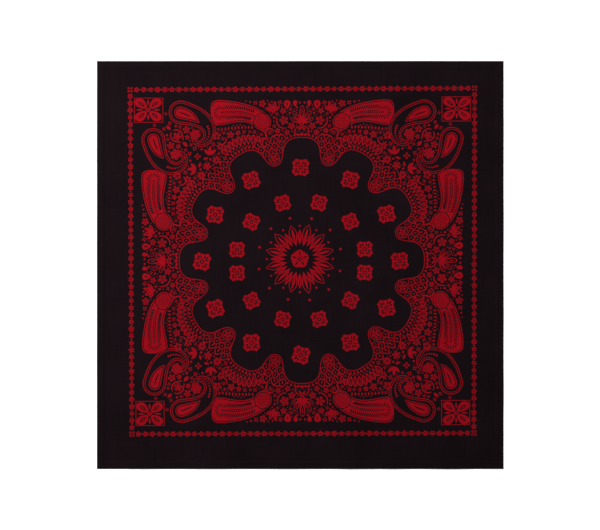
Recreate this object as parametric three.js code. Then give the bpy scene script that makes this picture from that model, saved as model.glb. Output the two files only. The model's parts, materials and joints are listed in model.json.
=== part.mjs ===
// A square cotton bandana laid out flat, face up, as one printed panel with its four edges turned under
// and hemmed. Millimetres, +Z up. The origin is the middle of the underside, +X runs along the width and
// +Y along the length, towards the top edge of the cloth as it is looked down on.
import * as THREE from "three";
import { mergeVertices } from "three/addons/utils/BufferGeometryUtils.js";

// The finished square, hems turned
const CLOTH_WIDTH = 559;
const CLOTH_LENGTH = 561;

// The cloth is modelled as a 1 mm wall, and seamed layers stay a little apart
const WALL = 1;
const SEAM_GAP = 0.3;

// The panel's edge wraps round the turned hem: a rim that reaches down, then a raised band over the hem
const RIM_WIDTH = WALL;
const RIM_DRAFT = 0.1;
const RIM_SHOULDER = 0.4;
const RIM_SHOULDER_DROP = 0.25;
const RIM_EDGE_DROP = 0.8;
const HEM_WIDTH = 6.5;
const HEM_FOLD_ROUND = 0.4;
const HEM_STEP_RUN = 4;

const HEM_OUTER = RIM_WIDTH + RIM_DRAFT + SEAM_GAP;
const HEM_INNER = HEM_OUTER + HEM_WIDTH;
const BAND_INNER = HEM_INNER + SEAM_GAP;
const STEP_INNER = BAND_INNER + HEM_STEP_RUN;
const BAND_LIFT = WALL + SEAM_GAP;

// Sections across the field are about this far apart
const FIELD_PITCH = 18;

// Soft ripples that the hem's pull leaves along the edges. side is the edge that a ripple starts from,
// along its place on that edge from the middle, halfWidth half its breadth there, reach how far in it
// dies out, and height its crest above the surface that the cloth lies on.
const RIPPLES = [
  { side: "bottom", along: -214, halfWidth: 34, reach: 58, height: 0.7 },
  { side: "bottom", along: -121, halfWidth: 42, reach: 74, height: 0.9 },
  { side: "bottom", along: -18, halfWidth: 38, reach: 66, height: 0.8 },
  { side: "bottom", along: 73, halfWidth: 30, reach: 92, height: 1.6 },
  { side: "bottom", along: 124, halfWidth: 26, reach: 70, height: 1.3 },
  { side: "bottom", along: 204, halfWidth: 40, reach: 84, height: 1.5 },
  { side: "right", along: -172, halfWidth: 40, reach: 80, height: 1.4 },
  { side: "right", along: -66, halfWidth: 36, reach: 62, height: 1.0 },
  { side: "right", along: 58, halfWidth: 46, reach: 72, height: 1.1 },
  { side: "right", along: 181, halfWidth: 34, reach: 54, height: 0.7 },
  { side: "top", along: -158, halfWidth: 44, reach: 60, height: 0.7 },
  { side: "top", along: 14, halfWidth: 50, reach: 54, height: 0.6 },
  { side: "top", along: 167, halfWidth: 38, reach: 66, height: 0.9 },
  { side: "left", along: -133, halfWidth: 42, reach: 60, height: 0.8 },
  { side: "left", along: 21, halfWidth: 48, reach: 52, height: 0.6 },
  { side: "left", along: 152, halfWidth: 36, reach: 64, height: 0.8 },
];

const HALF_WIDTH = CLOTH_WIDTH / 2;
const HALF_LENGTH = CLOTH_LENGTH / 2;

// For a point on the cloth, how far it lies in from each edge and where it is along that edge
const SIDES = {
  left: (x, y) => ({ inward: x + HALF_WIDTH, along: y }),
  right: (x, y) => ({ inward: HALF_WIDTH - x, along: y }),
  bottom: (x, y) => ({ inward: y + HALF_LENGTH, along: x }),
  top: (x, y) => ({ inward: HALF_LENGTH - y, along: x }),
};

const clamp01 = (t) => Math.min(1, Math.max(0, t));
const ease = (t) => clamp01(t) ** 2 * (3 - 2 * clamp01(t));

// How far the cloth stands off the surface at a point, from all its ripples
function rippleHeight(x, y) {
  let height = 0;
  for (const ripple of RIPPLES) {
    const { inward, along } = SIDES[ripple.side](x, y);
    const across = Math.abs(along - ripple.along) / ripple.halfWidth;
    const crest = across < 1 ? 0.5 * (1 + Math.cos(Math.PI * across)) : 0;
    height += ripple.height * crest * ease(1 - inward / ripple.reach);
  }
  return height;
}

const distanceIn = (x, y) => Math.min(HALF_WIDTH - Math.abs(x), HALF_LENGTH - Math.abs(y));

// A value that runs straight between the rows of a table of places
function between(table, place) {
  const after = table.findIndex((row) => row.inward >= place);
  if (after <= 0) return table[after === 0 ? 0 : table.length - 1].height;
  const [low, high] = [table[after - 1], table[after]];
  const share = (place - low.inward) / (high.inward - low.inward);
  return low.height + share * (high.height - low.height);
}

// The panel's section from its folded edge inwards, before the ripples
const PANEL_UNDERSIDE = [
  { inward: 0, height: 0 },
  { inward: RIM_WIDTH, height: 0 },
  { inward: RIM_WIDTH + RIM_DRAFT, height: BAND_LIFT },
  { inward: BAND_INNER, height: BAND_LIFT },
  { inward: BAND_INNER + HEM_STEP_RUN / 2, height: BAND_LIFT / 2 },
  { inward: STEP_INNER, height: 0 },
];
const PANEL_TOP = [
  { inward: 0, height: BAND_LIFT + WALL - RIM_EDGE_DROP },
  { inward: RIM_SHOULDER, height: BAND_LIFT + WALL - RIM_SHOULDER_DROP },
  { inward: RIM_WIDTH, height: BAND_LIFT + WALL },
  { inward: BAND_INNER, height: BAND_LIFT + WALL },
  { inward: BAND_INNER + HEM_STEP_RUN / 2, height: BAND_LIFT / 2 + WALL },
  { inward: STEP_INNER, height: WALL },
];
const PANEL_PLACES = [
  0,
  RIM_SHOULDER,
  RIM_WIDTH,
  RIM_WIDTH + RIM_DRAFT,
  BAND_INNER,
  BAND_INNER + HEM_STEP_RUN / 2,
  STEP_INNER,
];

// The lines of sections across a span: close together over its two edges, evenly spread over the field
function sectionLines(half) {
  const field = 2 * (half - STEP_INNER);
  const bays = Math.round(field / FIELD_PITCH);
  const inner = Array.from({ length: bays - 1 }, (_, bay) => STEP_INNER - half + ((bay + 1) * field) / bays);
  const edge = PANEL_PLACES.map((inward) => inward - half);
  return [...edge, ...inner, ...edge.map((place) => -place).reverse()];
}
const LINES_X = sectionLines(HALF_WIDTH);
const LINES_Y = sectionLines(HALF_LENGTH);

// A closed sheet over a grid of section lines, between an underside and a top given as functions
function sheetGeometry(linesX, linesY, underside, top) {
  const columns = linesX.length;
  const rows = linesY.length;
  const positions = [];
  for (const heightAt of [top, underside]) {
    for (const y of linesY) {
      for (const x of linesX) positions.push(x, y, heightAt(x, y));
    }
  }
  const topAt = (column, row) => row * columns + column;
  const underAt = (column, row) => columns * rows + topAt(column, row);
  const faces = [];
  const quad = (a, b, c, d) => faces.push(a, b, c, a, c, d);
  for (let row = 0; row + 1 < rows; row++) {
    for (let column = 0; column + 1 < columns; column++) {
      const [right, up] = [column + 1, row + 1];
      quad(topAt(column, row), topAt(right, row), topAt(right, up), topAt(column, up));
      quad(underAt(column, row), underAt(column, up), underAt(right, up), underAt(right, row));
    }
  }
  const wall = (from, to) => quad(underAt(...from), underAt(...to), topAt(...to), topAt(...from));
  for (let column = 0; column + 1 < columns; column++) {
    wall([column, 0], [column + 1, 0]);
    wall([column + 1, rows - 1], [column, rows - 1]);
  }
  for (let row = 0; row + 1 < rows; row++) {
    wall([columns - 1, row], [columns - 1, row + 1]);
    wall([0, row + 1], [0, row]);
  }
  const geometry = new THREE.BufferGeometry();
  geometry.setAttribute("position", new THREE.Float32BufferAttribute(positions, 3));
  geometry.setIndex(faces);
  const merged = mergeVertices(geometry);
  merged.computeVertexNormals();
  return merged;
}

const clothMaterial = (name, color) =>
  new THREE.MeshStandardMaterial({ name, color, roughness: 0.92, metalness: 0 });

// The printed panel: the flat field, the band that rides up over the hem, and the folded rim
function makePanel() {
  const underside = (x, y) => rippleHeight(x, y) + between(PANEL_UNDERSIDE, distanceIn(x, y));
  const top = (x, y) => rippleHeight(x, y) + between(PANEL_TOP, distanceIn(x, y));
  const mesh = new THREE.Mesh(
    sheetGeometry(LINES_X, LINES_Y, underside, top),
    clothMaterial("printed_cotton", "#1b1317"),
  );
  mesh.name = "panel";
  return mesh;
}

// The panel's section lines that fall inside a span, with the span's own ends
const linesWithin = (lines, low, high) => [
  low,
  ...lines.filter((place) => place > low + SEAM_GAP / 2 && place < high - SEAM_GAP / 2),
  high,
];

// One turned hem under the panel's edge. Side hems run the whole length of the cloth, and the top and
// bottom hems are turned between them. The strip's inner edge is the second fold, so its top is rounded.
function makeHem(side) {
  const upright = side === "left" || side === "right";
  const sign = side === "left" || side === "bottom" ? -1 : 1;
  const halfAcross = upright ? HALF_WIDTH : HALF_LENGTH;
  const endInset = upright ? HEM_OUTER : HEM_INNER + SEAM_GAP;
  const halfAlong = (upright ? HALF_LENGTH : HALF_WIDTH) - endInset;
  const acrossLines = [HEM_OUTER, HEM_INNER - HEM_FOLD_ROUND, HEM_INNER]
    .map((inward) => sign * (halfAcross - inward))
    .sort((a, b) => a - b);
  const alongLines = linesWithin(upright ? LINES_Y : LINES_X, -halfAlong, halfAlong);
  const top = (x, y) => {
    const { inward } = SIDES[side](x, y);
    const fold = clamp01((inward - (HEM_INNER - HEM_FOLD_ROUND)) / HEM_FOLD_ROUND);
    return rippleHeight(x, y) + WALL - fold * HEM_FOLD_ROUND;
  };
  const [linesX, linesY] = upright ? [acrossLines, alongLines] : [alongLines, acrossLines];
  const mesh = new THREE.Mesh(
    sheetGeometry(linesX, linesY, rippleHeight, top),
    clothMaterial("hem_cotton", "#17100f"),
  );
  mesh.name = `hem_${side}`;
  return mesh;
}

const bandana = new THREE.Group();
bandana.add(makePanel());
for (const side of Object.keys(SIDES)) bandana.add(makeHem(side));

export default bandana;
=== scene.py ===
"""The looks of a square cotton bandana that lies flat, face up: near-black cloth with a red print, hemmed all round.

The cloth's own sizes are in millimetres, with the origin in the middle of its underside, and become metres as each
mesh is made. Points of the print are complex numbers, x + iy.
"""

import cmath
import json
import math

import bpy
import numpy as np
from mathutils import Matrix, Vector
from mathutils.geometry import delaunay_2d_cdt

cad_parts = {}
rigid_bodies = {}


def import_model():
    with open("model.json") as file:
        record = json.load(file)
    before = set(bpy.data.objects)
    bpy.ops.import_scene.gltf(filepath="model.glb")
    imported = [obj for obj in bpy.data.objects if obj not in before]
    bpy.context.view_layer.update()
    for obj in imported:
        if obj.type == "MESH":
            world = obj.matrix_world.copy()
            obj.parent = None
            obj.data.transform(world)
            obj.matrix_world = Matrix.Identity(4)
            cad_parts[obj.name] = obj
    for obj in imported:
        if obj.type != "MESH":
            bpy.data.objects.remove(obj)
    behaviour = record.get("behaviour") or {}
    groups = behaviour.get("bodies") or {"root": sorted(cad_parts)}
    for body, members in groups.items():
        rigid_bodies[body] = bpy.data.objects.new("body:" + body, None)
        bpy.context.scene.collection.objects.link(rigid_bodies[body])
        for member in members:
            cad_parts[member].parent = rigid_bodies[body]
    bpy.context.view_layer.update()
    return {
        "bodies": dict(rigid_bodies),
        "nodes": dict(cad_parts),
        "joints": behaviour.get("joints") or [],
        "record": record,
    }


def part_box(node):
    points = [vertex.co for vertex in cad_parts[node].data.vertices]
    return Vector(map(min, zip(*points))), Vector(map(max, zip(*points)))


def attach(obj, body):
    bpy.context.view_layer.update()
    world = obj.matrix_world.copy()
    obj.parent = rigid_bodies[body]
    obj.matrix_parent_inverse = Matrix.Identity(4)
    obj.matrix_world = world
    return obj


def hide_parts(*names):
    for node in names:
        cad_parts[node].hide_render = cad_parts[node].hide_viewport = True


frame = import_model()

MM = 0.001
TAU = 2 * math.pi

# The finished square, from the CAD panel
PANEL_LOW, PANEL_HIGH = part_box("panel")
HALF_WIDTH = (PANEL_HIGH.x - PANEL_LOW.x) / 2 / MM
HALF_LENGTH = (PANEL_HIGH.y - PANEL_LOW.y) / 2 / MM

# The cloth's thickness, and the air between its layers where they are folded and sewn
CLOTH = 0.38
LAYER_GAP = 0.04

# Places in from the folded edge
HEM_INNER = 7.9
STEP_INNER = 12.2
STITCH_LINE = 5.5
RAW_EDGE = 0.9

# Heights in the hem: two turned layers, then the panel over them
HEM_TOP = 2 * CLOTH + LAYER_GAP
BAND_UNDERSIDE = HEM_TOP + LAYER_GAP
BAND_TOP = BAND_UNDERSIDE + CLOTH
FOLD_RADIUS = BAND_TOP / 2

STITCH_GROOVE = 0.16
STITCH_GROOVE_WIDTH = 0.8

# The same soft ripples as the solid has. side is the edge that a ripple starts from, along its place on that
# edge from the middle, half_width half its breadth there, reach how far in it dies out, and height its crest.
RIPPLES = [
    dict(side="bottom", along=-214, half_width=34, reach=58, height=0.7),
    dict(side="bottom", along=-121, half_width=42, reach=74, height=0.9),
    dict(side="bottom", along=-18, half_width=38, reach=66, height=0.8),
    dict(side="bottom", along=73, half_width=30, reach=92, height=1.6),
    dict(side="bottom", along=124, half_width=26, reach=70, height=1.3),
    dict(side="bottom", along=204, half_width=40, reach=84, height=1.5),
    dict(side="right", along=-172, half_width=40, reach=80, height=1.4),
    dict(side="right", along=-66, half_width=36, reach=62, height=1.0),
    dict(side="right", along=58, half_width=46, reach=72, height=1.1),
    dict(side="right", along=181, half_width=34, reach=54, height=0.7),
    dict(side="top", along=-158, half_width=44, reach=60, height=0.7),
    dict(side="top", along=14, half_width=50, reach=54, height=0.6),
    dict(side="top", along=167, half_width=38, reach=66, height=0.9),
    dict(side="left", along=-133, half_width=42, reach=60, height=0.8),
    dict(side="left", along=21, half_width=48, reach=52, height=0.6),
    dict(side="left", along=152, half_width=36, reach=64, height=0.8),
]

# For points on the cloth, how far each lies in from an edge and where it is along that edge
SIDES = {
    "left": lambda x, y: (x + HALF_WIDTH, y),
    "right": lambda x, y: (HALF_WIDTH - x, y),
    "bottom": lambda x, y: (y + HALF_LENGTH, x),
    "top": lambda x, y: (HALF_LENGTH - y, x),
}


def ease(share):
    share = np.clip(share, 0, 1)
    return share * share * (3 - 2 * share)


# Shallow waves that pressed cotton keeps: the direction across the wave in degrees, its length, where it starts,
# and its full height.
WAVES = [
    dict(direction=14, length=61, shift=0.3, height=0.16),
    dict(direction=97, length=53, shift=2.1, height=0.14),
    dict(direction=58, length=37, shift=4.4, height=0.08),
    dict(direction=139, length=44, shift=1.2, height=0.09),
]


def lie_height(x, y):
    """How far the cloth's underside stands off the surface at points of the field."""
    height = np.zeros_like(x)
    for ripple in RIPPLES:
        inward, along = SIDES[ripple["side"]](x, y)
        across = np.abs(along - ripple["along"]) / ripple["half_width"]
        crest = np.where(across < 1, 0.5 * (1 + np.cos(np.pi * across)), 0)
        height += ripple["height"] * crest * ease(1 - inward / ripple["reach"])
    for wave in WAVES:
        direction = math.radians(wave["direction"])
        gone = x * math.cos(direction) + y * math.sin(direction)
        height += wave["height"] * 0.5 * (1 + np.sin(TAU * gone / wave["length"] + wave["shift"]))
    return height


def distance_in(x, y):
    return np.minimum(HALF_WIDTH - np.abs(x), HALF_LENGTH - np.abs(y))


def stitch_groove(inward):
    return STITCH_GROOVE * np.exp(-(((inward - STITCH_LINE) / STITCH_GROOVE_WIDTH) ** 2))


def round_over(inward, radius):
    """The height of a quarter circle that starts upright so far in from the edge as the fold's middle allows."""
    short = np.clip(FOLD_RADIUS - inward, 0, radius)
    return np.sqrt(radius * radius - short * short)


def panel_top(x, y):
    inward = distance_in(x, y)
    folded = FOLD_RADIUS + round_over(inward, FOLD_RADIUS)
    band = folded - stitch_groove(inward)
    step = ease((inward - HEM_INNER) / (STEP_INNER - HEM_INNER))
    return lie_height(x, y) + band + (CLOTH - BAND_TOP) * step


def panel_underside(x, y):
    inward = distance_in(x, y)
    folded = FOLD_RADIUS + round_over(inward, FOLD_RADIUS - CLOTH)
    step = ease((inward - HEM_INNER) / (STEP_INNER - HEM_INNER))
    return lie_height(x, y) + folded - BAND_UNDERSIDE * step


# The print

def polar(radius, degrees):
    return cmath.rect(radius, math.radians(degrees))


# A shape is (outline as complex numbers, ink), painted in order: ink lays red, and not ink bares the ground
def disc(centre, radius, sides=10):
    return centre + radius * np.exp(1j * TAU * np.arange(sides) / sides)


def leaf(base, tip, breadth, steps=6, fullness=1.0):
    """A blade that is pointed at both ends. A fullness under 1 makes it broadest near its base."""
    along = np.linspace(0, 1, steps + 1)
    half = breadth / 2 * np.sin(math.pi * along**fullness)
    side = 1j * (tip - base) / abs(tip - base) * half
    line = base + (tip - base) * along
    return np.concatenate([line + side, (line - side)[-2:0:-1]])


def drop(base, tip, breadth, sides=12):
    """A tear with its point at the base and its round end at the tip."""
    around = TAU * np.arange(sides) / sides
    along = (1 - np.cos(around)) / 2
    across = breadth * 0.65 * np.sin(around) * np.sin(around / 2)
    return base + (tip - base) * along + 1j * (tip - base) / abs(tip - base) * across


def curl(start, heading, length, turn, tighten=1.0, steps=10):
    """A line from start that turns by so many degrees over its length, more towards its end if tighten is over 1."""
    middle = (np.arange(steps) + 0.5) / steps
    moves = np.exp(1j * np.radians(heading + turn * middle**tighten)) * length / steps
    return start + np.concatenate([[0], np.cumsum(moves)])


def headings(path):
    """The unit direction at each point of an open line."""
    gone = np.gradient(path)
    return gone / np.abs(gone)


def stroke(path, width, taper=0.4):
    """A brush line along a path: full width in its middle, and taper times that at its two ends."""
    along = np.linspace(-1, 1, len(path))
    half = width / 2 * (taper + (1 - taper) * np.sqrt(1 - along**2))
    side = 1j * headings(path) * half
    return np.concatenate([path + side, (path - side)[::-1]])


def smooth_line(points, between=4):
    """A soft curve through a few points."""
    ends = np.concatenate([[2 * points[0] - points[1]], points, [2 * points[-1] - points[-2]]])
    t = np.arange(between) / between
    spans = []
    for a, b, c, d in zip(ends, ends[1:], ends[2:], ends[3:]):
        spans.append(0.5 * (2 * b + (c - a) * t + (2 * a - 5 * b + 4 * c - d) * t**2 + (3 * b - a - 3 * c + d) * t**3))
    return np.concatenate(spans + [[points[-1]]])


def arc(centre, radius, start, end, steps=10):
    return centre + radius * np.exp(1j * np.radians(np.linspace(start, end, steps + 1)))


def moved(shapes, to=0, turn=0, scale=1.0):
    return [(line * polar(scale, turn) + to, ink) for line, ink in shapes]


def mirrored(shapes):
    """The same shapes on the other side of the upright middle line."""
    return [(-np.conj(line), ink) for line, ink in shapes]


def in_four_corners(shapes):
    upper = shapes + mirrored(shapes)
    return upper + [(np.conj(line), ink) for line, ink in upper]


def around_centre(shapes, copies, start=0.0):
    return [shape for copy in range(copies) for shape in moved(shapes, turn=start + copy * 360 / copies)]


def paisley(head, heading, length, breadth, turn, inset=0.0, tighten=1.4, steps=26, cap=16, bulge=1.9, square=1.0):
    """The outline of a bent tear, so far inside its full size. The tail is pointed, and the head is round or,
    with square under 1, blunter."""
    spine = curl(head, heading, length, turn, tighten, steps)
    ahead = headings(spine)
    along = np.linspace(0, 1, steps + 1)
    half = breadth / 2 * (1 - along**bulge) ** 0.85 - inset
    kept = half > 0.25
    left = (spine + 1j * ahead * half)[kept]
    right = (spine - 1j * ahead * half)[kept]
    last = int(np.count_nonzero(kept)) - 1
    tip = spine[last] + ahead[last] * max(half[last] * 1.6, length / steps * 0.8)
    back = np.radians(np.linspace(-90, 90, cap + 1)[1:-1])
    blunt = np.abs(np.cos(back)) ** square + 1j * np.sign(back) * np.abs(np.sin(back)) ** square
    round_end = head + (breadth / 2 - inset) * blunt * -polar(1, heading)
    return np.concatenate([left, [tip], right[::-1], round_end[::-1]])


def rosette(size, petals=4):
    """A small squarish blossom: broad eared petals to its corners, narrower ones between, and dark veins."""
    reach = size / 2
    corner = [
        (drop(0.05 * reach, polar(1.16 * reach, -10), 0.72 * reach, 12), True),
        (drop(0.05 * reach, polar(1.16 * reach, 10), 0.72 * reach, 12), True),
        (leaf(0.85 * reach, polar(1.22 * reach, -17), 0.40 * reach, 4), True),
        (leaf(0.85 * reach, polar(1.22 * reach, 17), 0.40 * reach, 4), True),
    ]
    shapes = around_centre(corner, petals, 45)
    shapes += around_centre([(drop(0.1 * reach, 0.97 * reach, 0.66 * reach, 8), True)], petals)
    vein = [(leaf(0.46 * reach, 1.02 * reach, 0.21 * reach, 4), False)]
    shapes += around_centre(vein, petals, 45)
    slit = [(leaf(0.36 * reach, polar(0.88 * reach, 3), 0.19 * reach, 3), False)]
    shapes += around_centre(slit, petals, 21) + around_centre(slit, petals, 66)
    shapes += [(disc(0, 0.28 * reach, 9), False), (disc(0, 0.15 * reach, 7), True)]
    return shapes


def floret(centre, size, petals=5, turn=0.0):
    """A plain little blossom."""
    petal = [(drop(0.08 * size, 0.5 * size, 0.33 * size, 10), True)]
    if size > 8:
        petal.append((leaf(0.24 * size, 0.43 * size, 0.08 * size, 4), False))
    shapes = around_centre(petal, petals, turn) + [(disc(0, 0.12 * size, 6), False)]
    return moved(shapes, centre)


# Layout, in millimetres from the middle of the print
BORDER_HALF = 236.0
BEADS_PER_SIDE = 48
CORNER_BLOSSOM = 8.0
PATTERN_HALF = 221.0
DIAGONAL = 45


def bead_border():
    """One side of the row of beads, with a bar between each two, and the blossom in its corner."""
    shapes = []
    row_half = BORDER_HALF - CORNER_BLOSSOM / 2
    pitch = 2 * row_half / BEADS_PER_SIDE
    for bead in range(BEADS_PER_SIDE):
        place = -row_half + (bead + 0.5) * pitch
        swell = 1 + 0.07 * math.sin(2.4 * bead) + 0.04 * math.sin(5.1 * bead)
        centre = complex(place, BORDER_HALF)
        petal = [(drop(0.5, 3.7 * swell, 2.6 * swell, 12), True)]
        shapes += around_point(petal, centre, 5, 47 * bead)
        if bead:
            gap = centre - 0.5 * pitch
            shapes.append((leaf(gap - 1.9j, gap + 1.9j, 1.3, 4), True))
    return shapes + floret(complex(BORDER_HALF, BORDER_HALF), CORNER_BLOSSOM + 1.2, 4, DIAGONAL)


def corner_square():
    """The framed flower in the upper right corner of the print."""
    stretch = complex(19.9, 17.0)

    def fitted(line):
        return line.real * stretch.real / 19 + 1j * line.imag * stretch.imag / 19

    frame = np.array([1 + 1j, -1 + 1j, -1 - 1j, 1 - 1j])
    shapes = [(frame * 19, True), (frame * 18.15, False)]
    flower = []
    petal = [
        (drop(1.2, 22.4, 13.2, 20), True),
        (leaf(6.5, 18.4, 4.6, 7), False),
        (leaf(9.0, 16.4, 1.7, 5), True),
    ]
    flower += around_centre(petal, 4, DIAGONAL)
    flower += around_centre([(leaf(6.5, 16.0, 2.6, 5), True)], 4)
    flower += [(disc(0, 4.2, 12), False), (disc(0, 3.1, 10), True), (disc(0, 1.3, 7), False)]
    shapes += moved(flower, complex(0.6, 0.6))
    return moved([(fitted(line), ink) for line, ink in shapes], complex(210.8, 207.8))


def corner_paisley():
    """The large paisley beside the corner square, in the upper one of its two places."""
    form = dict(head=complex(167.0, 204.6), heading=192, length=91, breadth=32.5, turn=258, tighten=2.2, steps=40)
    form["bulge"] = 1.2
    shapes = [
        (paisley(**form), True),
        (paisley(**form, inset=1.15), False),
        (paisley(**form, inset=2.8), True),
        (paisley(**form, inset=3.65), False),
    ]
    inner = dict(head=complex(167.5, 204.4), heading=194, length=30, breadth=16.5, turn=32, tighten=1.2, steps=16)
    shapes += [(paisley(**inner), True), (paisley(**inner, inset=1.1), False), (paisley(**inner, inset=2.4), True)]
    shapes += [(stroke(curl(complex(169, 204.6), 192, 17, 18, 1.0, 6), 1.8), False)]
    steps = 50
    spine = curl(form["head"], form["heading"], form["length"], form["turn"], form["tighten"], steps)
    for step in range(24, 40, 2):
        shapes.append((disc(spine[step], 1.5 - 0.05 * (step - 24), 8), True))
    return shapes


def corner_fill():
    """What the hook of a corner paisley holds, above the diagonal."""
    eye = complex(147.0, 174.0)
    shapes = floret(eye, 15.5, 6, 12)
    return shapes + [(disc(eye, 2.0, 8), True), (disc(eye, 0.9, 6), False)]


def around_point(shapes, point, copies, start=0.0):
    return moved(around_centre(shapes, copies, start), point)


def corner_axis():
    """What lies on the diagonal between the corner square and the medallion's field."""

    def on(distance, across=0.0):
        return complex(distance, across) * polar(1, DIAGONAL)

    shapes = [(leaf(on(264), on(255.5), 4.6, 4), True)]
    shapes += moved(floret(0, 12.0, 5, 45), on(243.0)) + [(disc(on(243.0), 1.6, 7), True)]
    for side in (-1, 1):
        shapes += [(stroke(curl(on(252.5, 1.5 * side), DIAGONAL + 105 * side, 18, 118 * side, 1.0, 8), 1.8), True)]
        shapes += [(stroke(curl(on(233.5, 1.6 * side), DIAGONAL + 60 * side, 9, -60 * side, 1.0, 5), 1.5), True)]
    shapes += [(leaf(on(232), on(222.5), 5.2, 4), True)]
    shapes += moved(floret(0, 9.0, 4, 0), on(203.0))
    shapes += moved(floret(0, 11.5, 5, 45), on(183.5)) + [(disc(on(183.5), 1.4, 7), True)]
    for side in (-1, 1):
        shapes += [(leaf(on(194.5, 2.6 * side), on(190.5, 9.5 * side), 3.4, 4), True)]
    return shapes


LOBES = 12
LOBE_CENTRE = 143.0
LOBE_RADIUS = 25.0
LOBE_POWER = 2.7
FIELD_RADIUS = 139.0
EDGE_LINE = 1.05


def scallop():
    """The thin line and its comb of short strokes round one lobe of the field, the one on the +X side."""
    shapes = [(stroke(lobe_line(0.6, -82, 82, 28), EDGE_LINE, 1.0), True)]
    for tooth in range(-7, 8):
        angle = tooth * 9.6
        inner = lobe_line(2.1, angle, angle, 0)[0]
        outer = lobe_line(6.4, angle, angle, 0)[0]
        shapes.append((drop(inner, outer, 3.1, 7), True))
    return shapes


def lobe_line(out, start, end, steps):
    """Points so far outside the edge of the lobe on the +X side, which is rounder than a square and blunter than
    a circle."""
    around = np.radians(np.linspace(start, end, steps + 1))
    blunt = (np.abs(np.cos(around)) ** LOBE_POWER + np.abs(np.sin(around)) ** LOBE_POWER) ** (-1 / LOBE_POWER)
    return LOBE_CENTRE + (LOBE_RADIUS * blunt + out) * np.exp(1j * around)


FAN_EYE = 9.4


def cusp_fan():
    """The cone of scales between two lobes, with its round end towards the centre and its rows growing outwards."""
    shapes = []
    rows = ((33.5, 4, 6.6), (25.5, 4, 5.6), (18.5, 3, 5.6))
    for out, count, radius in rows:
        for place in range(count):
            centre = complex(out, (place - (count - 1) / 2) * radius * 1.72)
            shapes += [(drop(centre + radius * 1.25, centre - radius * 0.72, radius * 1.66, 12), True)]
            shapes += [(drop(centre + radius * 0.92, centre - radius * 0.58, radius * 1.36, 10), False)]
            shapes += [(leaf(centre + radius * 0.42, centre - radius * 0.26, radius * 0.32, 3), True)]
    shapes += [(disc(FAN_EYE, 8.9, 20), False), (disc(FAN_EYE, 7.9, 20), True), (disc(FAN_EYE, 6.7, 20), False)]
    shapes += floret(FAN_EYE, 11.6, 5, 180) + [(disc(FAN_EYE, 0.8, 6), True)]
    rim = [complex(23.5, 17.2), complex(15.0, 13.6), complex(7.0, 10.2), complex(1.6, 6.2)]
    line = smooth_line(np.array(rim + [-0.6] + [np.conj(point) for point in rim[::-1]]))
    shapes.append((stroke(line, EDGE_LINE, 1.0), True))
    return moved(shapes, 134.5)


NET_PITCH = 2.5
NET_REACH = 11.6
FEATHER_HEAD_HALF = 17.4
FEATHER_END_HALF = 11.6
FEATHER_SPINE = curl(complex(112.0, 204.0), 177, 62, 50, 2.0, 22)


def feather_outline(inset):
    """The outline of the long paisley so far inside its full size: square at its head and round at its end."""
    along = np.linspace(0, 1, len(FEATHER_SPINE))
    ahead = headings(FEATHER_SPINE)
    half = FEATHER_HEAD_HALF + (FEATHER_END_HALF - FEATHER_HEAD_HALF) * along - 1.7 * np.sin(math.pi * along**1.3) - inset
    back = np.radians(np.linspace(-90, 90, 17)[1:-1])
    blunt = 0.78 * np.abs(np.cos(back)) ** 0.5 + 1j * np.sign(back) * np.abs(np.sin(back)) ** 0.7
    head = FEATHER_SPINE[0] - half[0] * blunt * ahead[0]
    end = FEATHER_SPINE[-1] + half[-1] * ahead[-1] * np.exp(1j * back[::-1])
    return np.concatenate([FEATHER_SPINE + 1j * ahead * half, end, (FEATHER_SPINE - 1j * ahead * half)[::-1], head[::-1]])


def feather_paisley():
    """The long paisley that lies along a side: solid at its head, barbed in its middle and netted at its end."""
    shapes = [(feather_outline(-1.3), False), (feather_outline(0), True)]
    shapes += [(feather_outline(1.2), False), (feather_outline(2.4), True)]
    ahead = headings(FEATHER_SPINE)
    barbed = range(1, len(FEATHER_SPINE) - 6)
    for step in barbed:
        room = 12.2 * min(1, 0.62 + 0.08 * step) - 0.22 * step
        for side in (-1, 1):
            foot = FEATHER_SPINE[step] + 1j * side * ahead[step] * 3.0
            tip = FEATHER_SPINE[step] + 1j * side * ahead[step] * room - ahead[step] * room * 0.4
            shapes.append((leaf(foot, tip, 1.2 + 0.07 * step, 4), False))
    for slit in range(-3, 4):
        out = -ahead[0] * polar(1, 26 * slit)
        shapes.append((leaf(FEATHER_SPINE[0] + 4.2 * out, FEATHER_SPINE[0] + 11.0 * out, 1.5, 4), False))
    shapes.append((stroke(FEATHER_SPINE[:-5], 3.6, 0.5), False))
    for step in barbed:
        shapes.append((disc(FEATHER_SPINE[step], 1.15, 7), True))
    end, facing = FEATHER_SPINE[-1], math.degrees(cmath.phase(ahead[-1]))
    shapes.append((stroke(arc(end, NET_REACH + 1.0, facing + 100, facing + 260, 16), 1.2, 1.0), False))
    across, up = np.meshgrid(np.arange(-6, 7), np.arange(-6, 7))
    net = end + ((across + 0.5 * (up % 2)) + 0.87j * up).ravel() * NET_PITCH
    net = net[inside(net, feather_outline(3.6)) & (np.abs(net - end) < NET_REACH - 1)]
    shapes += [(disc(spot, 0.74, 5), False) for spot in net]
    return shapes


def side_comb():
    """The row of short bars under the long paisley."""
    shapes = []
    for bar in range(10):
        foot = complex(68.5 + 4.6 * bar, 180.6 - 0.05 * (bar - 2) ** 2)
        shapes.append((leaf(foot, foot + 4.8j, 2.4, 4), True))
    return shapes


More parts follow.
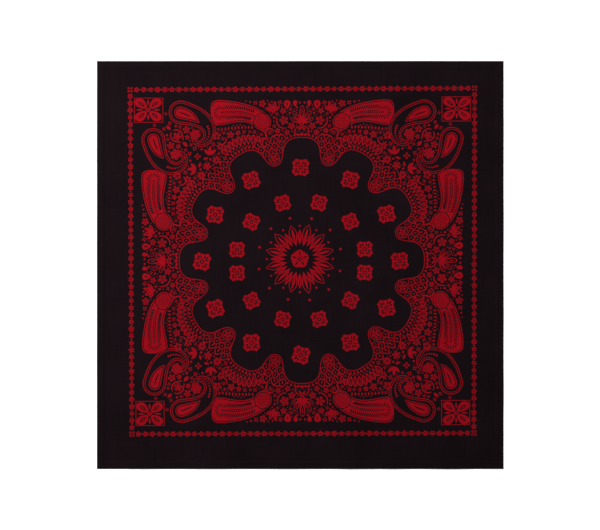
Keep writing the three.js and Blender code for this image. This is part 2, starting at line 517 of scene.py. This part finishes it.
def lobe_crown():
    """The crown over the lobe nearest the corner: a row of seeds, then petals with a dark slit."""
    centre = polar(LOBE_CENTRE, 60)
    shapes = []
    for petal in range(11):
        angle = 36 + petal * 8.6
        length = 15.5 - 0.30 * abs(petal - 5)
        root = centre + polar(LOBE_RADIUS + 9.4, angle)
        tip = centre + polar(LOBE_RADIUS + 9.4 + length, angle)
        shapes += [(drop(root, tip, 6.7, 10), True)]
        shapes += [(leaf(root + polar(3.4, angle), tip - polar(1.5, angle), 3.5, 4), False)]
        shapes += [(leaf(root + polar(6.8, angle), tip - polar(3.4, angle), 1.0, 3), True)]
        shapes += [(disc(centre + polar(LOBE_RADIUS + 8.6, angle + 4.3), 1.05, 6), True)]
    return shapes


def side_palmette():
    """The spray in the middle of a side."""
    root = 187.5j
    shapes = []
    for angle, reach, breadth in ((62, 18, 6.4), (34, 22, 7.0), (-34, 22, 7.0), (-62, 18, 6.4), (0, 26, 8.2)):
        tip = root + polar(reach, 90 + angle)
        shapes += [(drop(root, tip, breadth * 0.90), True)]
        shapes += [(drop(root + polar(reach * 0.36, 90 + angle), root + polar(reach * 0.945, 90 + angle), breadth * 0.64, 10), False)]
        shapes += [(leaf(root + polar(reach * 0.55, 90 + angle), root + polar(reach * 0.84, 90 + angle), breadth * 0.17, 4), True)]
    shapes += [(disc(root, 2.9, 9), True), (disc(root, 1.4, 6), False)]
    for side in (-1, 1):
        volute = curl(root - 3.0j + 1.2 * side, 90 - 100 * side, 26, -250 * side, 1.5, 16)
        shapes.append((stroke(volute, 1.6, 0.6), True))
        shapes += [(leaf(root - 4.0j, root - 9.0j + 5.0 * side, 3.0, 4), True)]
        for bud in range(2):
            shapes.append((disc(root + polar(24.5 - 2.0 * bud, 90 - side * (17 + 31 * bud)), 1.5, 7), True))
        shapes.append((drop(complex(9.6 * side, 211.5), complex(9.6 * side, 220.4), 6.0, 9), True))
        shapes.append((drop(complex(20.6 * side, 208.0), complex(20.6 * side, 220.6), 9.4, 11), True))
        shapes.append((leaf(complex(20.6 * side, 212.0), complex(20.6 * side, 218.0), 1.8, 4), False))
    return shapes


def side_leaves():
    """The leaves and curls between the palmette and the shell."""
    shapes = []
    base = complex(39.5, 204.5)
    for angle, reach in ((100, 15.5), (62, 14.5), (28, 12.5), (138, 12.0)):
        shapes += [(leaf(base + polar(1.5, angle), base + polar(reach, angle), 5.2, 5), True)]
        shapes += [(leaf(base + polar(5.5, angle), base + polar(reach * 0.82, angle), 1.2, 3), False)]
    shapes += [(disc(base, 2.2, 8), True)]
    shapes.append((stroke(curl(complex(34, 197.0), -75, 24, -120, 1.2, 10), 1.8), True))
    for start, heading, length, turn in (
        (complex(27.0, 160.0), 100, 26, -190),
        (complex(48.0, 168.5), 60, 24, 210),
        (complex(56.0, 179.0), 200, 22, 150),
        (complex(104.0, 169.0), 265, 20, 170),
        (complex(124.5, 214.0), 270, 30, -40),
    ):
        shapes.append((stroke(curl(start, heading, length, turn, 1.4, 12), 1.7, 0.5), True))
    shapes += floret(complex(117.0, 171.5), 11.5, 5, 20) + floret(complex(112.0, 157.0), 10.0, 5, 10)
    shapes += floret(complex(117.0, 138.0), 11.5, 6, 40)
    for angle, reach in ((140, 12.5), (95, 13.5), (50, 11.0)):
        shapes.append((leaf(complex(127.0, 145.0), complex(127.0, 145.0) + polar(reach, angle), 4.6, 5), True))
    return shapes


def medallion():
    """The daisy in the middle, its ring of dots and the two rings of blossoms."""
    shapes = []
    for petal in range(12):
        angle = 30 * petal
        solid = [(leaf(19.5, 41.0, 5.2, 7), True), (leaf(26.0, 38.0, 1.2, 4), False)]
        solid += [(disc(45.5, 1.5, 8), True)]
        shapes += moved(solid, turn=angle)
        wobble = 0.8 * math.sin(3.7 * petal)
        outlined = [(leaf(18.0, 48.5 + wobble, 11.8, 10, 1.2), True), (leaf(22.5, 47.0 + wobble, 9.2, 10, 1.2), False)]
        outlined += [(leaf(21.5, 43.5, 3.5, 6, 1.1), True)]
        shapes += moved(outlined, turn=angle + 15)
        shapes += moved([(disc(57.6, 1.8, 9), True)], turn=angle + 13.5)
    heart = around_centre([(drop(0.6, 12.6, 10.5, 12), True), (leaf(3.8, 11.4, 2.3, 4), False)], 5, 90)
    heart += around_centre([(leaf(5.0, 12.4, 3.0, 4), True), (disc(4.4, 0.8, 5), False)], 5, 54)
    shapes += heart + [(disc(0, 2.7, 8), False), (disc(0, 1.4, 6), True)]
    shapes = moved(shapes, complex(-1.8, 0.8))
    near_ring = []
    for angle, tilt in ((11.2, 2), (40.6, 24), (73.7, -14)):
        near_ring += moved(rosette(20.5), complex(89.5 * math.cos(math.radians(angle)), 83 * math.sin(math.radians(angle))), tilt)
    shapes += moved(in_four_corners(near_ring), complex(-0.5, -1.8))
    for flower in range(12):
        tilt = 16 * math.sin(1.9 * flower + 0.4)
        angle = math.radians(30 * flower)
        shapes += moved(rosette(22.3), complex(136 * math.cos(angle) - 1.0, 128.5 * math.sin(angle) - 1.6), tilt)
    return shapes


def inside(points, outline):
    """Which points lie within an outline, by how often a line from each crosses it."""
    begin, end = outline, np.roll(outline, -1)
    found = np.zeros(len(points), bool)
    for a, b in zip(begin, end):
        if a.imag == b.imag:
            continue
        crosses = (a.imag > points.imag) != (b.imag > points.imag)
        at = a.real + (points.imag - a.imag) * (b.real - a.real) / (b.imag - a.imag)
        found ^= crosses & (points.real < at)
    return found


FILL_GRID = 1.3
FILL_GAP = 1.3
SMALLEST_DOT = 0.75
QUIET = (
    (complex(143.0, 143.0), 11.5),
    (complex(124.5, 186.0), 4.5),
    (complex(163.0, 163.0), 7.0),
    (complex(180.0, 184.0), 6.0),
    (complex(187.0, 194.0), 6.5),
)
QUIET_FROM = complex(125.0, 203.0)


def fillers(shapes):
    """Dots, buds and florets for the gaps that the motifs leave in one eighth of the ornament."""
    steps = int(PATTERN_HALF / FILL_GRID)
    across, up = np.meshgrid(np.arange(steps + 1), np.arange(steps + 1))
    # each row starts half a step on, so that the fill doesn't line up
    grid = ((across + 0.5 * (up % 2)) + 1j * up).ravel() * FILL_GRID
    grid = grid[(grid.real >= 0) & (grid.imag >= grid.real) & (grid.imag <= PATTERN_HALF)]
    lobes = [polar(LOBE_CENTRE, 30 * lobe) for lobe in range(1, 4)]
    free = np.abs(grid) > FIELD_RADIUS + 2
    for lobe in lobes:
        free &= np.abs(grid - lobe) > LOBE_RADIUS + 6.5
    for centre, radius in QUIET:
        free &= np.abs(grid - centre) > radius
    free &= (grid.real < QUIET_FROM.real) | (grid.imag < QUIET_FROM.imag)
    samples = []
    for outline, _ in shapes:
        low, high = outline.real.min(), outline.real.max()
        if high < -3 or low > PATTERN_HALF + 3 or outline.imag.max() < 90:
            continue
        near = free & (grid.real > low) & (grid.real < high)
        near &= (grid.imag > outline.imag.min()) & (grid.imag < outline.imag.max())
        free[np.flatnonzero(near)[inside(grid[near], outline)]] = False
        ends = np.roll(outline, -1)
        for a, b in zip(outline, ends):
            parts = max(1, int(abs(b - a) / 1.2))
            samples.append(a + (b - a) * np.arange(parts) / parts)
    axis = np.arange(0, 230, 1.0)
    samples += [1j * axis, axis * polar(math.sqrt(2), 45), axis + 1j * (PATTERN_HALF + FILL_GAP)]
    samples = np.concatenate(samples)
    spots = grid[free]
    room = np.full(len(spots), np.inf)
    for chunk in np.array_split(samples, max(1, len(samples) // 400)):
        room = np.minimum(room, np.abs(spots[:, None] - chunk[None, :]).min(axis=1))
    room -= FILL_GAP
    placed = []
    while len(spots) and room.max() > SMALLEST_DOT:
        best = int(room.argmax())
        centre, radius = spots[best], min(room[best], 6.5)
        turn = 37.0 * len(placed)
        if radius > 3.4:
            placed += floret(centre, 2 * radius, 5, turn)
            placed.append((disc(centre, 0.16 * radius, 6), True))
        elif radius > 2.3:
            placed += floret(centre, 2 * radius, 4, turn)
        else:
            placed.append((disc(centre, radius * 0.76, 8), True))
        room = np.minimum(room, np.abs(spots - centre) - radius - FILL_GAP)
    return placed


def whole_print():
    eighth = corner_paisley() + corner_fill() + feather_paisley() + side_comb() + lobe_crown() + side_leaves()
    quarter = corner_axis() + side_palmette()
    fans = around_centre(cusp_fan(), LOBES, 15)
    edges = around_centre(scallop(), LOBES)
    known = eighth + corner_square() + quarter + mirrored(quarter) + fans + edges
    eighth = eighth + fillers(known)
    ornament = around_centre(eighth + mirrored(eighth) + quarter, 4)
    border = around_centre(bead_border(), 4)
    return border + ornament + in_four_corners(corner_square()) + edges + fans + medallion()


# Where the four corners of the border lie on the cloth, because the cloth isn't printed quite square
BOTTOM_LEFT, BOTTOM_RIGHT = complex(-231.3, -232.4), complex(238.7, -231.0)
TOP_LEFT, TOP_RIGHT = complex(-233.8, 240.9), complex(239.8, 243.0)
MIDDLE_DRIFT = complex(-2.2, 2.4)


def skewed(points):
    """Where points of the print lie on the cloth, which isn't quite square and has its middle a little off."""
    off_middle = np.clip(1 - np.abs(points / BORDER_HALF) ** 2, 0, 1)
    points = points + MIDDLE_DRIFT * off_middle
    across = (points.real / BORDER_HALF + 1) / 2
    up = (points.imag / BORDER_HALF + 1) / 2
    low = BOTTOM_LEFT + (BOTTOM_RIGHT - BOTTOM_LEFT) * across
    high = TOP_LEFT + (TOP_RIGHT - TOP_LEFT) * across
    return low + (high - low) * up


# The cloth as meshes

# Lines of points in from the edge, close together round the fold and over the hem, then evenly over the field
EDGE_LINES = [0.0, 0.05, 0.18, 0.38, 0.62, 1.6, 3.2, 4.4, 5.0, 5.5, 6.0, 6.6, 7.9, 9.0, 10.1, 11.2, 12.2]
RIPPLED_LINES = np.arange(STEP_INNER + 9, 102, 9)
MIDDLE_PITCH = 20.0
MERGE_DISTANCE = 1e-4


def section_lines(half):
    outer = np.concatenate([EDGE_LINES, RIPPLED_LINES]) - half
    bays = round(-2 * outer[-1] / MIDDLE_PITCH)
    middle = np.linspace(outer[-1], -outer[-1], bays + 1)[1:-1]
    return np.concatenate([outer, middle, -outer[::-1]])


def object_from(name, points, faces, materials, face_materials=None, normals=None):
    """A smooth mesh object from points in millimetres. Its normals are its own, or those that are given."""
    mesh = bpy.data.meshes.new(name)
    mesh.from_pydata((np.asarray(points) * MM).tolist(), [], [tuple(face) for face in faces])
    for material in materials:
        mesh.materials.append(material)
    if face_materials is not None:
        mesh.polygons.foreach_set("material_index", np.asarray(face_materials, np.int32))
    mesh.polygons.foreach_set("use_smooth", np.ones(len(mesh.polygons), bool))
    mesh.update()
    if normals is not None:
        mesh.normals_split_custom_set_from_vertices(normals.tolist())
    made = bpy.data.objects.new(name, mesh)
    bpy.context.scene.collection.objects.link(made)
    return made


def triangulated_face(lines_x, lines_y, shapes):
    """The printed face in plan: points, triangles, and whether each triangle is inked."""
    across, up = np.meshgrid(lines_x, lines_y)
    outlines = [skewed(outline) for outline, _ in shapes]
    columns, rows = len(lines_x), len(lines_y)
    rim = np.concatenate([
        np.arange(columns),
        np.arange(1, rows) * columns + columns - 1,
        (rows - 1) * columns + np.arange(columns - 2, -1, -1),
        np.arange(rows - 2, 0, -1) * columns,
    ])
    edges = list(zip(rim.tolist(), np.roll(rim, -1).tolist()))
    first = columns * rows
    for outline in outlines:
        ids = np.arange(first, first + len(outline))
        edges += zip(ids.tolist(), np.roll(ids, -1).tolist())
        first += len(outline)
    plan = np.concatenate([(across + 1j * up).ravel(), *outlines])
    found = delaunay_2d_cdt([Vector((p.real, p.imag)) for p in plan], edges, [], 0, MERGE_DISTANCE, False)
    points = np.array([(p.x, p.y) for p in found[0]])
    triangles = np.array(found[2])
    centres = points[triangles].mean(axis=1) @ np.array([1, 1j])
    order = np.argsort(centres.real)
    sorted_centres = centres[order]
    inked = np.zeros(len(triangles), bool)
    for (_, ink), outline in zip(shapes, outlines):
        start = np.searchsorted(sorted_centres.real, outline.real.min())
        stop = np.searchsorted(sorted_centres.real, outline.real.max())
        near = order[start:stop]
        height = centres[near].imag
        near = near[(height > outline.imag.min()) & (height < outline.imag.max())]
        inked[near[inside(centres[near], outline)]] = ink
    return points, triangles, inked


NORMAL_STEP = 0.02


def normals_of(height, x, y, up):
    """Unit normals of a height field, upwards or downwards. They don't depend on how its triangles fell."""
    slope_x = (height(x + NORMAL_STEP, y) - height(x - NORMAL_STEP, y)) / (2 * NORMAL_STEP)
    slope_y = (height(x, y + NORMAL_STEP) - height(x, y - NORMAL_STEP)) / (2 * NORMAL_STEP)
    found = up * np.column_stack([-slope_x, -slope_y, np.ones_like(slope_x)])
    return found / np.linalg.norm(found, axis=1)[:, None]


def make_panel(materials):
    """The printed panel as a closed shell: its printed face, and a plainer wrong side that shares its rim."""
    lines_x, lines_y = section_lines(HALF_WIDTH), section_lines(HALF_LENGTH)
    plan, triangles, inked = triangulated_face(lines_x, lines_y, whole_print())
    top = np.column_stack([plan, panel_top(plan[:, 0], plan[:, 1])])
    columns, rows = len(lines_x), len(lines_y)
    across, up = np.meshgrid(lines_x, lines_y)
    under = np.column_stack([across.ravel(), up.ravel(), panel_underside(across, up).ravel()])
    place = {(round(x, 3), round(y, 3)): index for index, (x, y) in enumerate(plan.tolist())}
    ids = np.arange(columns * rows) + len(top)
    on_rim = distance_in(under[:, 0], under[:, 1]) < MERGE_DISTANCE
    for index in np.flatnonzero(on_rim):
        ids[index] = place[(round(under[index, 0], 3), round(under[index, 1], 3))]
    ids = ids.reshape(rows, columns)
    quads = np.stack([ids[:-1, :-1], ids[1:, :-1], ids[1:, 1:], ids[:-1, 1:]], axis=-1).reshape(-1, 4)
    faces = triangles.tolist() + quads.tolist()
    slots = np.concatenate([inked.astype(int), np.full(len(quads), 2)])
    points = np.concatenate([top, under])
    used = np.zeros(len(points), bool)
    for block in (triangles, quads):
        used[block.ravel()] = True
    new_ids = np.cumsum(used) - 1
    faces = [tuple(new_ids[list(face)]) for face in faces]
    normals = np.concatenate([
        normals_of(panel_top, plan[:, 0], plan[:, 1], 1),
        normals_of(panel_underside, under[:, 0], under[:, 1], -1),
    ])
    panel = object_from("printed_panel", points[used], faces, materials, slots, normals[used])
    print("panel faces", len(triangles), "inked", int(inked.sum()), "under", len(quads))
    return panel


# A turned hem's section as places in from the edge and heights, once round: the outside from the panel's fold
# under the cloth to the inner fold and back up to the raw edge, then the inside of the fold.
def hem_section():
    join = FOLD_RADIUS - 0.01
    section = [(FOLD_RADIUS - math.cos(turn) * FOLD_RADIUS, join - math.sin(turn) * join)
               for turn in np.linspace(0, math.pi / 2, 5)]
    section += [(STITCH_LINE - 1.0, 0.0), (STITCH_LINE, STITCH_GROOVE * 0.8), (STITCH_LINE + 1.0, 0.0)]
    fold = HEM_TOP / 2
    section += [(HEM_INNER - fold + math.cos(turn) * fold, fold + math.sin(turn) * fold)
                for turn in np.linspace(-math.pi / 2, math.pi / 2, 7)]
    section += [(RAW_EDGE, HEM_TOP), (RAW_EDGE, HEM_TOP - CLOTH)]
    section += [(HEM_INNER - fold, HEM_TOP - CLOTH), (HEM_INNER - fold, CLOTH)]
    section += [(STITCH_LINE, CLOTH), (FOLD_RADIUS, CLOTH), (CLOTH, join)]
    return section


# How far in from the cloth's edge a side hem's two ends lie
END_IN = 0.12


def make_hem(side, material):
    """One turned hem. Side hems run the whole length, and the top and bottom ones lie between them."""
    upright = side in ("left", "right")
    half_across, half_along = (HALF_WIDTH, HALF_LENGTH) if upright else (HALF_LENGTH, HALF_WIDTH)
    sign = -1 if side in ("left", "bottom") else 1
    lines = section_lines(half_along)
    ends = half_along - (END_IN if upright else HEM_INNER + LAYER_GAP)
    lines = np.concatenate([[-ends], lines[np.abs(lines) < ends - LAYER_GAP], [ends]])
    section = np.array(hem_section())
    inward = np.tile(section[:, 0], len(lines))
    along = np.repeat(lines, len(section))
    across = sign * (half_across - inward)
    x, y = (across, along) if upright else (along, across)
    z = np.tile(section[:, 1], len(lines))
    if upright:
        # the ends close into the fold of the panel's edge
        left = half_along - np.abs(along)
        z = np.minimum(z, FOLD_RADIUS + round_over(left, FOLD_RADIUS - CLOTH) - LAYER_GAP)
        z = np.maximum(z, FOLD_RADIUS - LAYER_GAP - round_over(left, FOLD_RADIUS - LAYER_GAP))
    z = z + lie_height(x, y)
    count = len(section)
    faces = []
    for row in range(len(lines) - 1):
        for corner in range(count):
            after = (corner + 1) % count
            faces.append((row * count + corner, row * count + after, (row + 1) * count + after, (row + 1) * count + corner))
    last = (len(lines) - 1) * count
    faces.append(tuple(range(count))[::-1])
    faces.append(tuple(range(last, last + count)))
    if (sign == 1) != upright:
        faces = [face[::-1] for face in faces]
    return object_from(f"hem_{side}_turned", np.column_stack([x, y, z]), faces, [material])


STITCH_PITCH = 2.8
STITCH_LENGTH = 2.3
THREAD = 0.34
STITCH_RINGS = 5
THREAD_SIDES = 6


def make_stitching(side, material):
    """A row of lockstitches along a hem, seen on the face and on the wrong side."""
    upright = side in ("left", "right")
    half_across, half_along = (HALF_WIDTH, HALF_LENGTH) if upright else (HALF_LENGTH, HALF_WIDTH)
    sign = -1 if side in ("left", "bottom") else 1
    count = int((2 * half_along - 4) / STITCH_PITCH)
    centres = (np.arange(count) - (count - 1) / 2) * STITCH_PITCH
    sway = 0.18 * np.sin(centres / 31.0) + 0.05 * np.sin(centres * 1.7)
    rings = np.linspace(-1, 1, STITCH_RINGS)
    around = TAU * np.arange(THREAD_SIDES) / THREAD_SIDES
    girth = THREAD / 2 * np.sqrt(1 - 0.86 * rings**2)
    points, faces = [], []
    for face_up in (True, False):
        for centre, aside in zip(centres, sway):
            if not face_up:
                centre = centre + STITCH_PITCH / 2
            along = centre + rings * STITCH_LENGTH / 2
            inward = STITCH_LINE + aside + rings * 0.12
            across = sign * (half_across - inward)
            x, y = (across, along) if upright else (along, across)
            if face_up:
                height = panel_top(x, y) + 0.07 * (1 - rings**2) - 0.05
            else:
                height = lie_height(x, y) + THREAD / 2 * 0.9 + 0.06 * rings**2
            first = len(points)
            for ring in range(STITCH_RINGS):
                for angle in around:
                    shift = girth[ring] * math.cos(angle)
                    point = [x[ring], y[ring], height[ring] + girth[ring] * math.sin(angle)]
                    point[0 if upright else 1] += shift
                    points.append(point)
            for ring in range(STITCH_RINGS - 1):
                for corner in range(THREAD_SIDES):
                    after = (corner + 1) % THREAD_SIDES
                    low, high = first + ring * THREAD_SIDES, first + (ring + 1) * THREAD_SIDES
                    faces.append((low + corner, low + after, high + after, high + corner))
            faces.append(tuple(first + corner for corner in range(THREAD_SIDES))[::-1])
            last = first + (STITCH_RINGS - 1) * THREAD_SIDES
            faces.append(tuple(last + corner for corner in range(THREAD_SIDES)))
    if not upright:
        faces = [face[::-1] for face in faces]
    return object_from(f"stitching_{side}", points, [face[::-1] for face in faces], [material])


# Materials

class Graph:
    """A material's node tree, with short ways to add the nodes used here."""

    def __init__(self, name):
        self.material = bpy.data.materials.new(name)
        self.material.use_nodes = True
        self.tree = self.material.node_tree
        self.shader = self.tree.nodes["Principled BSDF"]

    def add(self, kind, **settings):
        node = self.tree.nodes.new(kind)
        for key, value in settings.items():
            setattr(node, key, value)
        return node

    def feed(self, socket, value):
        if isinstance(value, bpy.types.NodeSocket):
            self.tree.links.new(value, socket)
        else:
            socket.default_value = value

    def math(self, operation, first, second=None, third=None):
        node = self.add("ShaderNodeMath", operation=operation)
        for socket, value in zip(node.inputs, (first, second, third)):
            if value is not None:
                self.feed(socket, value)
        return node.outputs[0]

    def stretched(self, place, across, up):
        node = self.add("ShaderNodeMapping")
        self.feed(node.inputs["Vector"], place)
        node.inputs["Scale"].default_value = (across, up, 1)
        return node.outputs[0]

    def noise(self, place, scale, detail=2.0, roughness=0.5):
        node = self.add("ShaderNodeTexNoise")
        self.feed(node.inputs["Vector"], place)
        node.inputs["Scale"].default_value = scale
        node.inputs["Detail"].default_value = detail
        node.inputs["Roughness"].default_value = roughness
        return node.outputs["Fac"]

    def between(self, value, low, high, to_low, to_high):
        node = self.add("ShaderNodeMapRange")
        self.feed(node.inputs["Value"], value)
        for socket, number in zip(node.inputs[1:5], (low, high, to_low, to_high)):
            socket.default_value = number
        return node.outputs["Result"]

    def mixed(self, share, first, second):
        node = self.add("ShaderNodeMix", data_type="RGBA")
        self.feed(node.inputs["Factor"], share)
        self.feed(node.inputs["A"], first)
        self.feed(node.inputs["B"], second)
        return node.outputs["Result"]


THREADS_PER_MM = 2.1


def plain_weave(graph, place):
    """The height of a plain weave: each yarn's round back, which rises over one crossing yarn and dips under the next."""
    parts = graph.add("ShaderNodeSeparateXYZ")
    graph.feed(parts.inputs[0], place)
    heights = []
    # adding Z lets the yarns run on round a fold instead of streaking down it
    across = graph.math("ADD", parts.outputs["X"], parts.outputs["Z"])
    across = graph.math("MULTIPLY", across, THREADS_PER_MM / MM)
    up = graph.math("ADD", parts.outputs["Y"], parts.outputs["Z"])
    up = graph.math("MULTIPLY", up, THREADS_PER_MM / MM)
    for over, under, shift in ((across, up, -0.5), (up, across, 0.5)):
        in_yarn = graph.math("FRACT", over)
        off_axis = graph.math("MULTIPLY_ADD", in_yarn, 2.0, -1.0)
        back = graph.math("SUBTRACT", 1.0, graph.math("MULTIPLY", off_axis, off_axis))
        back = graph.math("SQRT", graph.math("MAXIMUM", back, 0.0))
        phase = graph.math("ADD", graph.math("FLOOR", over), graph.math("ADD", under, shift))
        rise = graph.math("COSINE", graph.math("MULTIPLY", phase, math.pi))
        heights.append(graph.math("MULTIPLY_ADD", rise, 0.5, back))
    return graph.math("MAXIMUM", *heights)


def cotton(name, dark, light, print_wear=None):
    """Plain-weave cotton. With print_wear it is a printed area, and that is the colour that shows between its yarns.
    Without it, the valleys between the yarns are darkened as painted shade.
    """
    graph = Graph(name)
    place = graph.add("ShaderNodeTexCoord").outputs["Object"]
    weave = plain_weave(graph, place)
    slubs_up = graph.noise(graph.stretched(place, 900, 22), 1.0, 2.0)
    slubs_across = graph.noise(graph.stretched(place, 26, 1000), 1.0, 2.0)
    slubs = graph.math("MULTIPLY", graph.math("ADD", slubs_up, slubs_across), 0.5)
    cloud = graph.noise(place, 16.0, 3.0, 0.55)
    tone = graph.math("MULTIPLY_ADD", slubs, 0.7, graph.math("MULTIPLY", cloud, 0.5))
    tone = graph.between(tone, 0.42, 0.78, 0.0, 1.0)
    colour = graph.mixed(tone, (*dark, 1), (*light, 1))
    valley = graph.between(weave, 0.55, 1.2, 1.0, 0.0)
    if print_wear:
        specks = graph.noise(place, 900.0, 2.0, 0.6)
        thin_ink = graph.between(specks, 0.56, 0.74, 0.0, 0.55)
        bare = graph.math("MAXIMUM", graph.math("MULTIPLY", valley, 0.5), thin_ink)
        colour = graph.mixed(bare, colour, (*print_wear, 1))
    else:
        # painted shade: the weave's valleys are darkened towards 0.45 of the dark tone
        valley_shade = tuple(0.45 * part for part in dark)
        colour = graph.mixed(graph.math("MULTIPLY", valley, 0.7), colour, (*valley_shade, 1))
    graph.feed(graph.shader.inputs["Base Color"], colour)
    graph.feed(graph.shader.inputs["Roughness"], graph.between(weave, 0.4, 1.4, 0.98, 0.80))
    graph.shader.inputs["Specular IOR Level"].default_value = 0.022
    graph.shader.inputs["Sheen Weight"].default_value = 0.006
    graph.shader.inputs["Sheen Roughness"].default_value = 0.5
    fuzz = graph.noise(place, 2600.0, 3.0, 0.7)
    relief = graph.math("MULTIPLY_ADD", fuzz, 0.5, graph.math("MULTIPLY_ADD", slubs, 0.9, weave))
    bump = graph.add("ShaderNodeBump")
    bump.inputs["Strength"].default_value = 0.5
    bump.inputs["Distance"].default_value = 0.06 * MM
    graph.feed(bump.inputs["Height"], relief)
    graph.feed(graph.shader.inputs["Normal"], bump.outputs[0])
    return graph.material


def sewing_thread(name, dark, light):
    graph = Graph(name)
    place = graph.add("ShaderNodeTexCoord").outputs["Object"]
    parts = graph.add("ShaderNodeSeparateXYZ")
    graph.feed(parts.inputs[0], place)
    along = graph.math("ADD", parts.outputs["X"], parts.outputs["Y"])
    height = graph.math("MULTIPLY", parts.outputs["Z"], 1.4)
    twist = graph.math("SINE", graph.math("MULTIPLY", graph.math("ADD", along, height), TAU / (0.42 * MM)))
    # painted light and shade: the thread is lighter on the crests of its twist and darker in the grooves, following the
    # bump's height
    painted_twist_shade = graph.between(twist, -1.0, 1.0, 0.0, 1.0)
    colour = graph.mixed(painted_twist_shade, (*dark, 1), (*light, 1))
    graph.feed(graph.shader.inputs["Base Color"], colour)
    graph.feed(graph.shader.inputs["Roughness"], graph.between(graph.noise(place, 1500.0), 0.3, 0.7, 0.6, 0.75))
    graph.shader.inputs["Specular IOR Level"].default_value = 0.16
    bump = graph.add("ShaderNodeBump")
    bump.inputs["Strength"].default_value = 0.6
    bump.inputs["Distance"].default_value = 0.04 * MM
    graph.feed(bump.inputs["Height"], twist)
    graph.feed(graph.shader.inputs["Normal"], bump.outputs[0])
    return graph.material


GROUND_DARK, GROUND_LIGHT = (0.0056, 0.0029, 0.0041), (0.0098, 0.0052, 0.0070)
INK_DARK, INK_LIGHT = (0.235, 0.0018, 0.0062), (0.315, 0.0030, 0.0092)
ground = cotton("black_cotton", GROUND_DARK, GROUND_LIGHT)
ink = cotton("red_print", INK_DARK, INK_LIGHT, print_wear=(0.03, 0.003, 0.005))
wrong_side = cotton("black_cotton_wrong_side", (0.0085, 0.0055, 0.0070), (0.0145, 0.0095, 0.0120))
thread = sewing_thread("black_thread", (0.005, 0.0038, 0.0043), (0.013, 0.010, 0.011))

panel = make_panel([ground, ink, wrong_side])
hems = {side: make_hem(side, wrong_side) for side in SIDES}
stitching = [make_stitching(side, thread) for side in SIDES]

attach(panel, "root")
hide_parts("panel")
for side, hem in hems.items():
    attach(hem, "root")
    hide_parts(f"hem_{side}")
for row in stitching:
    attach(row, "root")


# The stage: a pale floor, soft light and the camera straight above

FLOOR_SIZE = 9.0
FLOOR_GLOW = 0.55


def make_floor():
    graph = Graph("pale_floor")
    graph.shader.inputs["Base Color"].default_value = (0.92, 0.92, 0.92, 1)
    graph.shader.inputs["Emission Color"].default_value = (1, 1, 1, 1)
    graph.shader.inputs["Emission Strength"].default_value = FLOOR_GLOW
    graph.shader.inputs["Roughness"].default_value = 0.9
    graph.shader.inputs["Specular IOR Level"].default_value = 0.0
    half = FLOOR_SIZE / 2 / MM
    corners = [(-half, -half, 0), (half, -half, 0), (half, half, 0), (-half, half, 0)]
    floor = object_from("floor", corners, [(0, 1, 2, 3)], [graph.material])


def add_area_light(name, place, size, power):
    light = bpy.data.lights.new(name, "AREA")
    light.shape = "SQUARE"
    light.size = size
    light.energy = power
    made = bpy.data.objects.new(name, light)
    made.location = place
    made.rotation_euler = (-Vector(place)).to_track_quat("-Z", "Y").to_euler()
    bpy.context.scene.collection.objects.link(made)


def add_world(strength):
    world = bpy.data.worlds.new("studio")
    world.use_nodes = True
    background = world.node_tree.nodes["Background"]
    background.inputs["Color"].default_value = (1, 1, 1, 1)
    background.inputs["Strength"].default_value = strength
    bpy.context.scene.world = world


# The photograph's frame: 600 x 530 pixels, with the cloth's middle at 300.2, 265 and 1.375 mm to a pixel
FRAME_WIDTH = 600
MM_PER_PIXEL = 1.375
CLOTH_CENTRE_X = 300.2
LENS = 100.0
SENSOR = 36.0


def add_camera():
    data = bpy.data.cameras.new("camera")
    data.lens = LENS
    data.sensor_width = SENSOR
    seen_width = FRAME_WIDTH * MM_PER_PIXEL * MM
    height = seen_width * LENS / SENSOR
    camera = bpy.data.objects.new("camera", data)
    camera.location = ((FRAME_WIDTH / 2 - CLOTH_CENTRE_X) * MM_PER_PIXEL * MM, 0, height)
    data.clip_end = 50
    bpy.context.scene.collection.objects.link(camera)
    bpy.context.scene.camera = camera


make_floor()
add_area_light("key", (-0.80, 0.70, 1.30), 1.2, 41)
add_world(0.25)
add_camera()
bpy.context.scene.view_settings.view_transform = "Standard"
